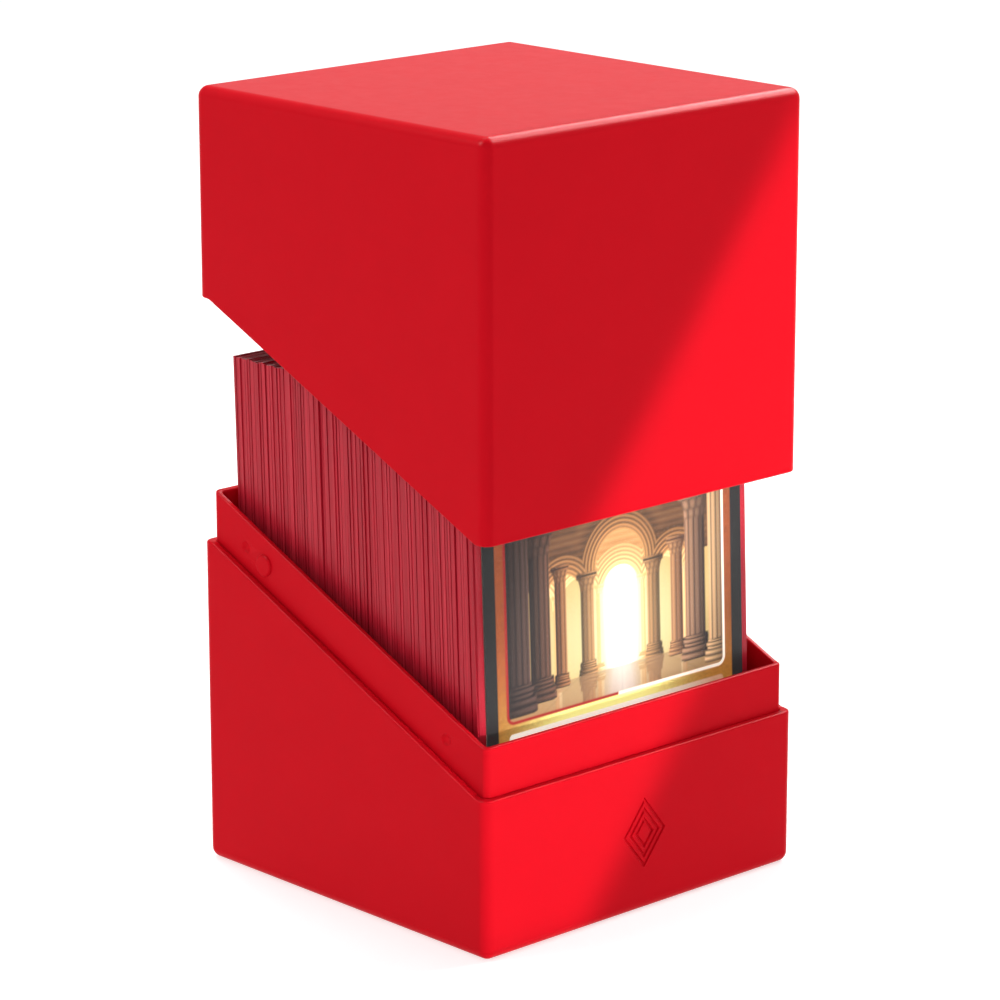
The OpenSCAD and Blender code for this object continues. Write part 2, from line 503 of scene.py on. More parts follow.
def add_ornament(shape, outline):
    """Fills the base's front face, with the lozenge lines sunk in it."""
    inradius = ORNAMENT_HALF_W * ORNAMENT_HALF_H / math.hypot(ORNAMENT_HALF_W, ORNAMENT_HALF_H)
    line = ORNAMENT_LINE / inradius
    soft = ORNAMENT_SOFT / inradius
    for scale in ORNAMENT_SCALES:
        rings = shape.loft(
            [
                lozenge(scale + soft, 0),
                lozenge(scale, ORNAMENT_BREAK),
                lozenge(scale - soft, ORNAMENT_DEPTH),
                lozenge(scale - line + soft, ORNAMENT_DEPTH),
                lozenge(scale - line, ORNAMENT_BREAK),
                lozenge(scale - line - soft, 0),
            ]
        )
        shape.fill(outline, [rings[0]])
        outline = rings[-1]
    shape.fill(outline)


def base_moulding():
    shape = Shape()
    side = [(0, y) for y in bend_places(HALF_D - BASE_WALL - BASE_INNER_R)]

    def ring(inset, height):
        if callable(height):
            share = inset / BASE_WALL
            radius = EDGE_R + (BASE_INNER_R - EDGE_R) * share
            return shell_ring(HALF_W, HALF_D, inset, radius, side, height)
        return shell_ring(HALF_W, HALF_D, inset, EDGE_R - inset, side, lambda y: height)

    foot = shape.loft([ring(EDGE_R * (1 - s), EDGE_R * (1 - c)) for s, c in quarter(8)])
    rim = shape.loft(rim_rings(ring, BASE_WALL, seam))
    front = len(foot[0]) - 1
    shape.strip(foot[-1], rim[0], skip=[front])
    add_ornament(shape, [foot[-1][front], foot[-1][0], rim[0][0], rim[0][front]])
    shape.fill(foot[0])
    floor = shape.ring([(x, y, BASE_FLOOR) for x, y, _ in ring(BASE_WALL, seam)])
    shape.strip(rim[-1], floor)
    shape.fill(floor)
    return shape.mesh("base_moulding")


# ---------------------------------------------------------------- tray


def tray_rim(y):
    return seam(y, TRAY_RISE, TRAY_LEVEL)


def dimple_profile():
    """A round hollow with a softened edge."""
    sphere_r = (DIMPLE_R**2 + DIMPLE_DEPTH**2) / (2 * DIMPLE_DEPTH)
    widest = math.asin(DIMPLE_R / sphere_r)
    bowl = []
    for k in range(7):
        angle = widest * (1 - k / 7.5)
        bowl.append((sphere_r * math.sin(angle), sphere_r - DIMPLE_DEPTH - sphere_r * math.cos(angle)))
    return [(DIMPLE_R + 0.1, 0), (DIMPLE_R + 0.03, -0.02), *bowl[1:]]


def button_profile():
    """A round catch with a bevelled edge."""
    bevel = BUTTON_OUT / 2
    edge = BUTTON_R - bevel
    return [
        (BUTTON_R + 0.1, 0),
        (BUTTON_R + 0.02, 0.03),
        (BUTTON_R, bevel - 0.05),
        (BUTTON_R - 0.03, bevel + 0.03),
        (edge + 0.05, BUTTON_OUT - 0.05),
        (edge - 0.05, BUTTON_OUT - 0.01),
        (edge - 0.3, BUTTON_OUT),
    ]


def tray_moulding():
    shape = Shape()
    side = [(0, y) for y in bend_places(TRAY_HALF_D - TRAY_WALL - TRAY_INNER_R)]

    def ring(inset, height):
        radius = TRAY_R + (TRAY_INNER_R - TRAY_R) * inset / TRAY_WALL
        return shell_ring(TRAY_HALF_W, TRAY_HALF_D, inset, radius, side, height)

    foot = shape.loft(
        [
            ring(TRAY_FOOT_R * (1 - s), lambda y, c=c: tray_low.z + TRAY_FOOT_R * (1 - c))
            for s, c in quarter(3)
        ]
    )
    rim = shape.loft(rim_rings(ring, TRAY_WALL, tray_rim))
    runs = side_runs(len(side))
    shape.strip(foot[-1], rim[0], skip=[n for run in runs for n in run[:-1]])
    for run, sign in zip(runs, (1, -1)):
        holes = [stud(shape, sign, TRAY_HALF_W, BUTTON_AT, button_profile())]
        holes += [stud(shape, sign, TRAY_HALF_W, place, dimple_profile()) for place in DIMPLES_AT]
        shape.fill([foot[-1][n] for n in run] + [rim[0][n] for n in reversed(run)], holes)
    shape.fill(foot[0])
    bowl = shape.loft(
        [
            ring(TRAY_WALL + TRAY_BOWL_R * (1 - c), lambda y, s=s: TRAY_FLOOR + TRAY_BOWL_R * (1 - s))
            for s, c in quarter(3)
        ]
    )
    shape.strip(rim[-1], bowl[0])
    shape.fill(bowl[-1])
    return shape.mesh("tray_moulding")


# ---------------------------------------------------------------- lid


def lid_side(jog=0.0, spread=0.0):
    """Places along the lid's sides, with the catch slot's two edges, which step out by jog."""
    slot_y = BUTTON_AT[0] - HALF_D
    near = slot_y - SLOT_HALF - spread
    far = slot_y + SLOT_HALF + spread
    bends = bend_places(HALF_D - 2 * LID_WALL)
    return (
        [(0, y) for y in bends if y < near]
        + [(0, near), (jog, near), (jog, far), (0, far)]
        + [(0, y) for y in bends if y > far]
    )


def add_lid_side(shape, run, sign, rim, ceiling):
    """One inner side face of the lid, with its slot for the catch and its two pips."""
    inner_x = HALF_W - LID_WALL
    slot_y, slot_z = on_wall(BUTTON_AT, LID_LIFT)
    stepped_out = [k for k, n in enumerate(run) if abs(shape.points[rim[n]][0]) > inner_x + SLOT_DEPTH / 2]
    first = stepped_out[0] - 1
    edges = [rim[n] for n in run[first : first + 4]]
    ahead = 1 if shape.points[edges[3]][1] > shape.points[edges[0]][1] else -1
    turns = [math.pi * k / ARCH_STEPS for k in range(ARCH_STEPS + 1)]
    arch = [(slot_y - ahead * SLOT_HALF * math.cos(a), slot_z + SLOT_HALF * math.sin(a)) for a in turns]
    mouth = shape.ring([(sign * inner_x, y, z) for y, z in arch])
    floor = shape.ring([(sign * (inner_x + SLOT_DEPTH), y, z) for y, z in arch])
    shape.strip([edges[0], *mouth, edges[3]], [edges[1], *floor, edges[2]], closed=False)
    shape.fill([edges[1], *floor, edges[2]])
    pip = [(PIP_R, 0), (PIP_R * 0.9, -PIP_OUT * 0.6), (PIP_R * 0.7, -PIP_OUT * 0.9), (PIP_R * 0.4, -PIP_OUT)]
    holes = [stud(shape, sign, inner_x, place, pip, LID_LIFT) for place in DIMPLES_AT]
    low = [rim[n] for n in run[: first + 1]] + mouth + [rim[n] for n in run[first + 3 :]]
    high = [ceiling[n] for n in reversed(run[: first + 1] + run[first + 3 :])]
    shape.fill(low + high, holes)


def lid_moulding():
    shape = Shape()
    top_z = lid_high.z
    ceiling_z = top_z - LID_TOP

    def low_edge(y):
        return seam(y, SEAM_GAP + LID_LIFT)

    def ring(inset, height, jog=0.0, spread=0.0):
        radius = EDGE_R + (LID_INNER_R - EDGE_R) * inset / LID_WALL
        return shell_ring(HALF_W, HALF_D, inset, radius, lid_side(jog, spread), height)

    def top_ring(s, c):
        inset = EDGE_R * (1 - c)
        z = top_z - EDGE_R * (1 - s)
        return shell_ring(HALF_W, HALF_D, inset, EDGE_R - inset, lid_side(), lambda y: z)

    top = shape.loft([top_ring(s, c) for s, c in quarter(8)])
    outside = [ring(RIM_R * (1 - c), lambda y, s=s: low_edge(y) + RIM_R * (1 - s)) for s, c in quarter(4)]
    inside = [
        ring(
            LID_WALL - RIM_R * (1 - s),
            lambda y, c=c: low_edge(y) + RIM_R * (1 - c),
            SLOT_DEPTH,
            RIM_R * (1 - s),
        )
        for s, c in quarter(4)
    ]
    rim = shape.loft(outside + inside)
    shape.strip(top[0], rim[0])
    shape.fill(top[-1])
    ceiling = shape.ring([(x, y, ceiling_z) for x, y, _ in ring(LID_WALL, low_edge)])
    shape.fill(ceiling)
    runs = side_runs(len(lid_side()))
    shape.strip(rim[-1], ceiling, skip=[n for run in runs for n in run[:-1]])
    for run, sign in zip(runs, (1, -1)):
        add_lid_side(shape, run, sign, rim[-1], ceiling)
    return shape.mesh("lid_moulding")


# ---------------------------------------------------------------- deck


def smooth_step(t):
    t = min(max(t, 0.0), 1.0)
    return t * t * (3 - 2 * t)


def lean(number):
    share = number / (CARD_COUNT - 1)
    return math.radians(LEAN_FRONT + (LEAN_BACK - LEAN_FRONT) * share)


def stood(point, number):
    """A point in a sleeve's own place, moved to where card place number leans in the tray."""
    x, y, z = point
    s, c = math.sin(lean(number)), math.cos(lean(number))
    foot_y = DECK_START + PITCH * number - HALF_D
    foot_z = TRAY_FLOOR + DECK_PLAY + SLEEVE_T * s
    return x, foot_y + y * c + z * s, foot_z - y * s + z * c


def bulge(from_edge, height):
    """Half a filled sleeve's thickness: thin at the welds, full over the card."""
    across = smooth_step((from_edge - WELD_W) / SWELL)
    up = smooth_step((height - WELD_W * 0.8) / SWELL)
    return WELD_T / 2 + (SLEEVE_T - WELD_T) / 2 * across * up


FRONT_SHIFT = 0.25  # the front sleeve stands a little to the right


class SleeveForm:
    """How one sleeve differs from the next: its place across, its tilt, its length and its edges' waves."""

    def __init__(self, chance, loose=1.0):
        self.shift = loose * chance.uniform(-0.08, 0.08)
        self.tilt = loose * math.radians(chance.uniform(-0.1, 0.1))
        self.length = SLEEVE_H - loose * chance.uniform(0, 0.35)
        self.waves = []
        for _ in range(2):
            offset = loose * chance.uniform(-0.04, 0.04)
            height = loose * chance.uniform(0.02, 0.05)
            self.waves.append((offset, height, chance.uniform(45, 110), chance.uniform(0, 6.3)))

    def placed(self, x, y, z):
        """A point of the even sleeve, moved as this one's differ."""
        offset, height, length, phase = self.waves[x > 0]
        near_edge = max(0.0, 1 - (SLEEVE_HALF_W - abs(x)) / WAVE_REACH)
        wave = (offset + height * math.sin(2 * math.pi * z / length + phase)) * near_edge
        lifted = SLEEVE_HALF_W * abs(self.tilt)
        return x + self.shift + z * self.tilt, y + wave, z - x * self.tilt + lifted


SLEEVE_XS = (33.0, 32.6, 32.2, 31.7, 31.2, 30.6, 12.0)
POCKET_XS = (32.15, 32.05, 31.9, 31.6, 31.2, 30.6, 12.0)
SLEEVE_ZS = (0, 0.5, 1.0, 1.6, 2.3, 12, 24, 36, 48, 60, 72, 82)
POCKET_ZS = (82, 72, 60, 48, 36, 24, 12, 2.3, 1.6, 1.2)


def both_ways(places):
    return [-x for x in places] + list(reversed(places))


def add_sleeve(shape, number, form):
    """A welded pocket of two films, open at its top."""
    middle = SLEEVE_T / 2

    def ring(xs, z, thinner):
        halves = [max(bulge(SLEEVE_HALF_W - abs(x), z) - thinner, POCKET_LEAST) for x in xs]
        front = [(x, middle - h, z) for x, h in zip(xs, halves)]
        back = [(x, middle + h, z) for x, h in zip(xs, halves)]
        return [stood(form.placed(*p), number) for p in front + back[::-1]]

    def cap(numbers):
        count = len(numbers)
        for k in range(count // 2 - 1):
            shape.faces.append((numbers[k], numbers[k + 1], numbers[count - 2 - k], numbers[count - 1 - k]))

    outer_xs, inner_xs = both_ways(SLEEVE_XS), both_ways(POCKET_XS)
    outer = [ring(outer_xs, z, 0) for z in (*SLEEVE_ZS, form.length)]
    inner = [ring(inner_xs, z, FILM_T) for z in (form.length, *POCKET_ZS)]
    rings = shape.loft(outer + inner)
    cap(rings[0])
    cap(rings[-1])


CARD_STEPS = 6


def card_outline(inset):
    """Points round a card's outline, standing on its lower edge."""
    points = []
    radius = CARD_R - inset
    corners = ((1, 1, 0), (-1, 1, 90), (-1, -1, 180), (1, -1, 270))
    for across, up, start in corners:
        for k in range(CARD_STEPS + 1):
            angle = math.radians(start + 90 * k / CARD_STEPS)
            x = across * (CARD_HALF_W - CARD_R) + radius * math.cos(angle)
            z = CARD_H / 2 + up * (CARD_H / 2 - CARD_R) + radius * math.sin(angle)
            points.append((x, z))
    return points


CARD_RISE = (SLEEVE_H - CARD_H) / 2
CARD_BEHIND = (SLEEVE_T - CARD_T) / 2


def add_card(shape, number, form):
    """A card with round corners and slightly worn edges, in its sleeve's pocket."""
    layers = ((CARD_WEAR, 0), (0, CARD_WEAR), (0, CARD_T - CARD_WEAR), (CARD_WEAR, CARD_T))
    rings = shape.loft(
        [
            [
                stood(form.placed(x * 0.9999, CARD_BEHIND + deep, z + CARD_RISE), number)
                for x, z in card_outline(inset)
            ]
            for inset, deep in layers
        ]
    )
    shape.fill(rings[0])
    shape.fill(rings[-1])


FILM_DARK = np.array((0.37, 0.005, 0.017))
FILM_LIGHT = np.array((0.47, 0.012, 0.028))


def tint_sleeves(mesh, shades, per_sleeve):
    """Gives each sleeve its own shade of red."""
    attribute = mesh.color_attributes.new("tint", "FLOAT_COLOR", "POINT")
    count = len(mesh.vertices)
    colours = np.ones((count, 4))
    for number in range(count):
        shade = shades[min(number // per_sleeve, len(shades) - 1)]
        colours[number, :3] = FILM_DARK + (FILM_LIGHT - FILM_DARK) * shade
    attribute.data.foreach_set("color", colours.ravel())


def add_stacks(film, stock):
    """The sleeves and cards behind the front card, in the CAD's stacks."""
    chance = random.Random(SEED)
    stacks = CARD_COUNT // STACK_SIZE
    for stack in range(1, stacks + 1):
        first = max(1, (stack - 1) * STACK_SIZE)
        numbers = range(first, stack * STACK_SIZE)
        sleeves, cards, shades = Shape(), Shape(), []
        for number in numbers:
            form = SleeveForm(chance)
            add_sleeve(sleeves, number, form)
            add_card(cards, number, form)
            shades.append(chance.random())
        mesh = sleeves.mesh(f"sleeve_stack_{stack}")
        tint_sleeves(mesh, shades, len(mesh.vertices) // len(shades))
        add_piece(mesh, f"sleeve_stack_{stack}", film, "deck", "sleeve_film", f"sleeves_{stack}")
        mesh = cards.mesh(f"card_stack_{stack}")
        add_piece(mesh, f"card_stack_{stack}", stock, "deck", "card_stock", f"cards_{stack}")


def film_sheet(name, facing):
    """The front (facing -1) or back (1) film of the front sleeve, as a closed thin sheet."""
    shape = Shape()
    form = SleeveForm(random.Random(SEED), loose=0.0)
    form.shift = FRONT_SHIFT
    xs = both_ways(SLEEVE_XS)
    zs = (*SLEEVE_ZS, SLEEVE_H)
    between = 0.004
    middle = SLEEVE_T / 2

    def row(z, step):
        points = []
        for x in xs:
            half = bulge(SLEEVE_HALF_W - abs(x), z)
            inner = max(half - FILM_T, between)
            depth = half + (inner - half) * step
            points.append(stood(form.placed(x, middle + facing * depth, z), 0))
        return points

    outer = [shape.ring(row(z, 0)) for z in zs]
    inner = [shape.ring(row(z, 1)) for z in zs]
    for side in (outer, inner):
        for near, far in zip(side, side[1:]):
            shape.strip(near, far, closed=False)
    for end in (0, -1):
        shape.strip(outer[end], inner[end], closed=False)
        shape.strip([r[end] for r in outer], [r[end] for r in inner], closed=False)
    return shape.mesh(name)


# ---------------------------------------------------------------- the front card's print

BLACK = linear(14, 13, 13)
BORDER = 2.7
FRAME_LEFT = -CARD_HALF_W + BORDER
FRAME_RIGHT = CARD_HALF_W - BORDER
PICTURE_LEFT = FRAME_LEFT + 2.2
PICTURE_RIGHT = FRAME_RIGHT - 2.0
PICTURE_LOW = 34.1
PICTURE_HIGH = 77.0
PANEL_TOP = 32.2
FLOOR_LINE = 5.0  # where the picture's floor meets its wall, above PICTURE_LOW
FOOT_DROP = 0.4  # the front columns stand this far below that line
LIGHT_AT = 1.0  # the picture's bright doorway, right of its middle
PAINTED_FILM_REFLECTION = 0.022  # painted reflection: the clear film's milky sheen, added to every colour of the print


def cover(inside, soft=0.12):
    """Share covered, from the distance inside an edge."""
    return np.clip(0.5 + inside / (2 * soft), 0, 1)


def laid(under, colour, share):
    return under + (colour - under) * share[..., None]


def inside_box(x, z, left, right, low, high, radius):
    """Distance inside a box with round corners."""
    over_x = np.abs(x - (left + right) / 2) - (right - left) / 2 + radius
    over_z = np.abs(z - (low + high) / 2) - (high - low) / 2 + radius
    outside = np.hypot(np.maximum(over_x, 0), np.maximum(over_z, 0))
    return radius - outside - np.minimum(np.maximum(over_x, over_z), 0)


# A column's foot, in half widths of its shaft: each ring's lower and upper edge, and its half width.
FOOT_RINGS = ((0, 0.5, 1.5), (0.5, 0.95, 1.42), (0.95, 1.2, 1.16), (1.2, 1.55, 1.26), (1.55, 1.75, 1.1))
RING_EDGE = 0.08  # softness of the rings' edges
HEAD = 1.9  # a capital's height, in half widths of its shaft


def shaded(shown, dark, light, share, within):
    """Lays a colour between dark and light over the picture."""
    return laid(shown, dark + (light - dark) * np.clip(share, 0, 1)[..., None], within)


def shaft(shown, u, v, middle, half, low, top, dark, light, flutes):
    """Paints a fluted shaft, brighter on the side of the light."""
    toward = np.sign(LIGHT_AT - middle)
    turned = np.arcsin(np.clip((u - middle) / half, -1, 1))
    lit = np.clip(0.42 + 0.5 * toward * np.sin(turned * 0.9), 0, 1)
    grooves = np.abs(np.sin(turned * flutes / 2 + 0.4)) ** 0.7
    within = cover(half - np.abs(u - middle)) * cover(v - low) * cover(top - v)
    return shaded(shown, dark, light, lit * (0.1 + 1.1 * grooves), within)


def foot_ring(shown, u, v, middle, half, foot, ring, dark, light):
    """Paints one ring of a column's foot."""
    low, high, wide = ring
    t = np.clip((u - middle) / (wide * half), -1, 1)
    up = (v - foot) / half - 0.1 * (1 - np.sqrt(1 - t**2))
    lit = np.clip(0.45 + 0.55 * np.sign(LIGHT_AT - middle) * t, 0, 1)
    across = np.clip((up - low) / (high - low), 0, 1)
    share = lit * (0.15 + 1.1 * np.sin(np.pi * across**1.3) ** 1.5)
    beside = cover(wide * half - np.abs(u - middle))
    within = beside * cover((up - low) * half, RING_EDGE) * cover((high - up) * half, RING_EDGE)
    return shaded(shown, dark * 0.7, light, share, within)


def capital(shown, u, v, middle, half, top, dark, light):
    """Paints a flared, leafy capital and the slab on it."""
    toward = np.sign(LIGHT_AT - middle)
    up = (v - top) / half + HEAD
    flare = np.clip(up / (HEAD - 0.35), 0, 1)
    wide = half * (1.02 + 0.42 * flare**1.8)
    t = np.clip((u - middle) / wide, -1, 1)
    rows = flare * 2.2
    leaves = np.abs(np.sin(5.5 * t + 2.2 * np.floor(rows))) * (0.4 + 0.6 * np.sin((rows % 1) * np.pi))
    lit = np.clip(0.5 + 0.5 * toward * t, 0, 1)
    within = cover(wide - np.abs(u - middle)) * cover(up * half) * cover(top - v)
    shown = shaded(shown, dark * 0.8, light, (0.1 + 0.85 * leaves) * lit + 0.1, within)
    within = cover(1.62 * half - np.abs(u - middle)) * cover(0.35 * half - np.abs(v - top + 0.1 * half))
    across = np.clip((v - top) / half + 0.45, 0, 0.7)
    lit = 0.55 + 0.45 * toward * np.clip((u - middle) / half, -1, 1)
    return shaded(shown, dark, light, (0.35 + 0.5 * np.sin(across * 13)) * lit, within)


def column(shown, u, v, middle, half, foot, top, dark, light, flutes=9):
    """Paints a whole column between foot and top."""
    shown = shaft(shown, u, v, middle, half, foot + 1.7 * half, top, dark, light, flutes)
    behind = cover(1.25 * half - np.abs(u - middle)) * cover(v - foot) * cover(foot + 1.8 * half - v)
    shown = laid(shown, 0.7 * dark, behind)
    for ring in FOOT_RINGS:
        shown = foot_ring(shown, u, v, middle, half, foot, ring, dark, light)
    return capital(shown, u, v, middle, half, top, dark, light)


def arcade(shown, u, v, arches, low, dark, light, spacing, reach):
    """Paints a wall over arches (middle, springing, radius), with mouldings that follow them out to reach."""
    inside = np.full_like(u, -99.0)
    nearest = np.full_like(u, 99.0)
    for middle, spring, radius in arches:
        beyond = np.hypot(u - middle, np.maximum(v - spring, 0)) - radius
        inside = np.maximum(inside, -beyond)
        nearest = np.minimum(nearest, beyond)
    lines = (0.5 + 0.5 * np.cos(nearest * 2 * np.pi / spacing)) ** 1.5
    fading = 0.45 + 0.55 * np.clip(1 - nearest / reach, 0, 1)
    courses = 0.14 + 0.05 * np.sin(v * 5.2) + 0.05 * np.sin(nearest * 1.3)
    share = np.where(nearest < reach, (0.2 + 0.8 * lines) * fading, courses)
    bright_edge = 0.4 * np.exp(-(((nearest - 0.25) / 0.3) ** 2))
    return shaded(shown, dark, light, share + bright_edge, cover(-inside) * cover(v - low))


def glow_behind(u, v):
    """Light beyond the arcade: yellow, paler and then white toward the doorway."""
    yellow, pale = linear(190, 150, 82), linear(198, 182, 134)
    paler = np.exp(-(((u - LIGHT_AT) / 20) ** 2) - ((v - 12) / 12) ** 2)
    shown = yellow + (pale - yellow) * np.clip(1.15 * paler, 0, 1)[..., None]
    white = np.exp(-(((u - LIGHT_AT) / 3.1) ** 2) - ((v - 15) / 14) ** 2)
    shown = shown + (1 - shown) * np.clip(2.4 * white, 0, 1)[..., None]
    return laid(shown, linear(220, 204, 150), cover(v - 26.4))


BACK_ARCHES = [(LIGHT_AT + 10.3 * k, 18.6, 4.2 if k else 4.5) for k in (-2, -1, 0, 1, 2)]
FRONT_ARCHES = ((LIGHT_AT, 23.6, 5.9), (-12.9, 19.6, 4.3), (14.6, 19.6, 4.3))


def hall(u, v):
    """The made-up arcade behind the picture's floor line, at places u across and v up."""
    shown = glow_behind(u, v)
    shown = arcade(shown, u, v, BACK_ARCHES, 18.0, linear(176, 112, 62), linear(255, 218, 150), 0.72, 3.8)
    dark, light = linear(222, 160, 92), linear(255, 240, 190)
    for middle in (-4.2, 6.2, -14.5, 16.5):
        shown = column(shown, u, v, middle, 0.75, FLOOR_LINE, 20.4, dark, light, 5)
    shown = arcade(shown, u, v, FRONT_ARCHES, 22.4, linear(54, 30, 18), linear(200, 138, 82), 0.8, 3.6)
    dark, light = linear(50, 28, 18), linear(186, 130, 84)
    for middle in (-7.2, 9.1):
        shown = column(shown, u, v, middle, 1.55, FLOOR_LINE - FOOT_DROP, 23.0, dark, light)
    return shown


def polished_floor(u, v):
    """The picture's floor, with the hall mirrored in it."""
    mirrored = hall(u, 2 * FLOOR_LINE - FOOT_DROP - v)
    depth = np.clip((FLOOR_LINE - v) / FLOOR_LINE, 0, 1)
    stone = linear(144, 106, 74)
    shown = stone + (mirrored - stone) * (0.38 - 0.15 * depth)[..., None]
    across = (u - LIGHT_AT) / (1 + 0.9 * depth) / 5.2
    joints = 1 - 0.14 * np.exp(-(((across + 0.5) % 1 - 0.5) ** 2) / 0.0009)
    shown = shown * joints[..., None]
    streak = 0.12 * np.exp(-(((u - LIGHT_AT) / 1.3) ** 2))
    return shown + (1 - shown) * streak[..., None]


NEAR_COLUMNS = (  # middle, half width, foot, top, dark, light, flutes
    (-13.6, 1.35, 4.0, 25.4, (40, 22, 16), (168, 112, 70), 7),
    (14.9, 1.5, 4.0, 25.4, (70, 40, 28), (190, 136, 92), 7),
    (-18.6, 2.45, 2.3, 33.0, (6, 3, 3), (100, 66, 50), 11),
    (19.6, 2.5, 2.3, 33.0, (34, 18, 14), (172, 128, 98), 11),
    (-24.2, 3.1, 0.9, 40.0, (6, 3, 3), (80, 56, 48), 13),
    (25.2, 2.3, 0.9, 40.0, (52, 28, 18), (224, 178, 128), 11),
)


def picture(u, v):
    """Colours of the picture at places u across and v up from its lower middle."""
    shown = laid(hall(u, v), polished_floor(u, v), cover(FLOOR_LINE - v))
    haze = 0.28 * np.exp(-((np.hypot((u - LIGHT_AT) / 1.1, (v - 13) / 1.5) / 6.5) ** 2))
    shown = shown + (linear(232, 214, 150) - shown) * haze[..., None]
    for middle, half, foot, top, dark, light, flutes in NEAR_COLUMNS:
        shown = column(shown, u, v, middle, half, foot, top, linear(*dark), linear(*light), flutes)
    return shown


def gold(x, z, rough):
    """The frame's gold, bright yellow under the picture's middle."""
    bright = np.exp(-(np.abs((x + 3.5) / 17) ** 3) - ((z - PICTURE_LOW + 2) / 6) ** 2)
    low = np.exp(-(((z - 20) / 16) ** 2))
    warm, yellow = linear(146, 68, 22), linear(184, 132, 34)
    plain = (warm + (yellow - warm) * low[..., None]) * (0.92 + 0.1 * rough[..., None])
    return plain + (linear(255, 250, 150) - plain) * np.clip(bright * (1.2 + 0.1 * rough), 0, 1)[..., None]


def print_and_painted_light(x, z):
    """Colours of the card's printed side, with the clear film's painted reflection and painted shade on the
    panels, at places x across and z up from its lower edge.
    """
    rough = np.random.default_rng(SEED).normal(0, 0.5, x.shape)
    for axis in (0, 0, 1, 1, 1):
        rough = (rough + np.roll(rough, 1, axis)) / 1.6
    shown = np.broadcast_to(BLACK, (*x.shape, 3))
    frame_in = inside_box(x, z, FRAME_LEFT, FRAME_RIGHT, BORDER, CARD_H - BORDER, 0.8)
    shown = laid(shown, gold(x, z, rough), cover(frame_in))
    picture_in = inside_box(x, z, PICTURE_LEFT, PICTURE_RIGHT, PICTURE_LOW, PICTURE_HIGH, 1.5)
    middle = (PICTURE_LEFT + PICTURE_RIGHT) / 2
    shown = laid(shown, picture(x - middle, z - PICTURE_LOW), cover(picture_in))
    line = cover(0.28 - np.abs(picture_in - 0.05))
    right = cover(x - middle)
    shown = laid(shown, linear(150, 16, 14), line * (1 - right))
    shown = laid(shown, linear(255, 240, 222), line * right)
    bright, dim = linear(255, 252, 236), linear(196, 150, 118)
    cream = bright + (dim - bright) * np.clip((x - 6) / 18, 0, 1)[..., None]
    # Painted shade: the cream is full bright only near the lower panel's top edge, darker below it where it
    # sits in the tray, and on the upper panel under the lid.
    cream = cream * (0.42 + 0.58 * np.exp(-(((z - PANEL_TOP) / 3.5) ** 2)))[..., None]
    for low, high in ((6.0, PANEL_TOP), (PICTURE_HIGH + 1.6, CARD_H - BORDER - 1.4)):
        panel_in = inside_box(x, z, PICTURE_LEFT + 0.3, PICTURE_RIGHT - 0.3, low, high, 0.8)
        shown = laid(shown, cream * (1 + 0.02 * rough[..., None]), cover(panel_in))
    # Painted reflection of the clear film, added over the whole print.
    return np.clip(shown + PAINTED_FILM_REFLECTION, 0, 1)


def spaced(stops):
    """Places from each stop to the next, with the spacing given beside it."""
    places = []
    for (start, spacing), (end, _) in zip(stops, stops[1:]):
        count = max(1, round((end - start) / spacing))
        places.extend(start + (end - start) * k / count for k in range(count))
    return np.array([*places, stops[-1][0]])


FINE = 0.21  # spacing of the print's points in the picture


def print_grid():
    """Places across and up for the print's points, closest at the edges of the frame and the picture."""
    xs = spaced(
        (
            (-CARD_HALF_W, 0.75),
            (FRAME_LEFT - 0.3, 0.15),
            (FRAME_LEFT + 0.3, 0.3),
            (PICTURE_LEFT - 0.4, 0.12),
            (PICTURE_LEFT + 0.8, FINE),
            (PICTURE_RIGHT - 0.8, 0.12),
            (PICTURE_RIGHT + 0.4, 0.3),
            (FRAME_RIGHT - 0.3, 0.15),
            (FRAME_RIGHT + 0.3, 0.75),
            (CARD_HALF_W, 1),
        )
    )
    zs = spaced(
        (
            (0, 0.75),
            (BORDER - 0.3, 0.15),
            (BORDER + 0.3, 0.6),
            (PANEL_TOP - 1.5, 0.15),
            (PICTURE_LOW + 0.9, FINE),
            (PICTURE_HIGH - 0.8, 0.15),
            (PICTURE_HIGH + 2.2, 0.4),
            (CARD_H - BORDER - 0.3, 0.15),
            (CARD_H - BORDER + 0.3, 0.75),
            (CARD_H, 1),
        )
    )
    return np.meshgrid(xs, zs)


def with_round_corners(flat_x, flat_z):
    """A rectangle's places, with those near its corners pulled in to the card's round outline."""
    in_x = np.clip((np.abs(flat_x) - (CARD_HALF_W - CARD_R)) / CARD_R, 0, 1)
    in_z = np.clip((np.abs(flat_z - CARD_H / 2) - (CARD_H / 2 - CARD_R)) / CARD_R, 0, 1)
    corner = (in_x > 0) & (in_z > 0)
    round_x = CARD_HALF_W - CARD_R + CARD_R * in_x * np.sqrt(1 - in_z**2 / 2)
    round_z = CARD_H / 2 - CARD_R + CARD_R * in_z * np.sqrt(1 - in_x**2 / 2)
    x = np.where(corner, np.sign(flat_x) * round_x, flat_x)
    z = np.where(corner, CARD_H / 2 + np.sign(flat_z - CARD_H / 2) * round_z, flat_z)
    return x, z


PRINT_GAP = 0.02  # keeps the print clear of the film in front of it


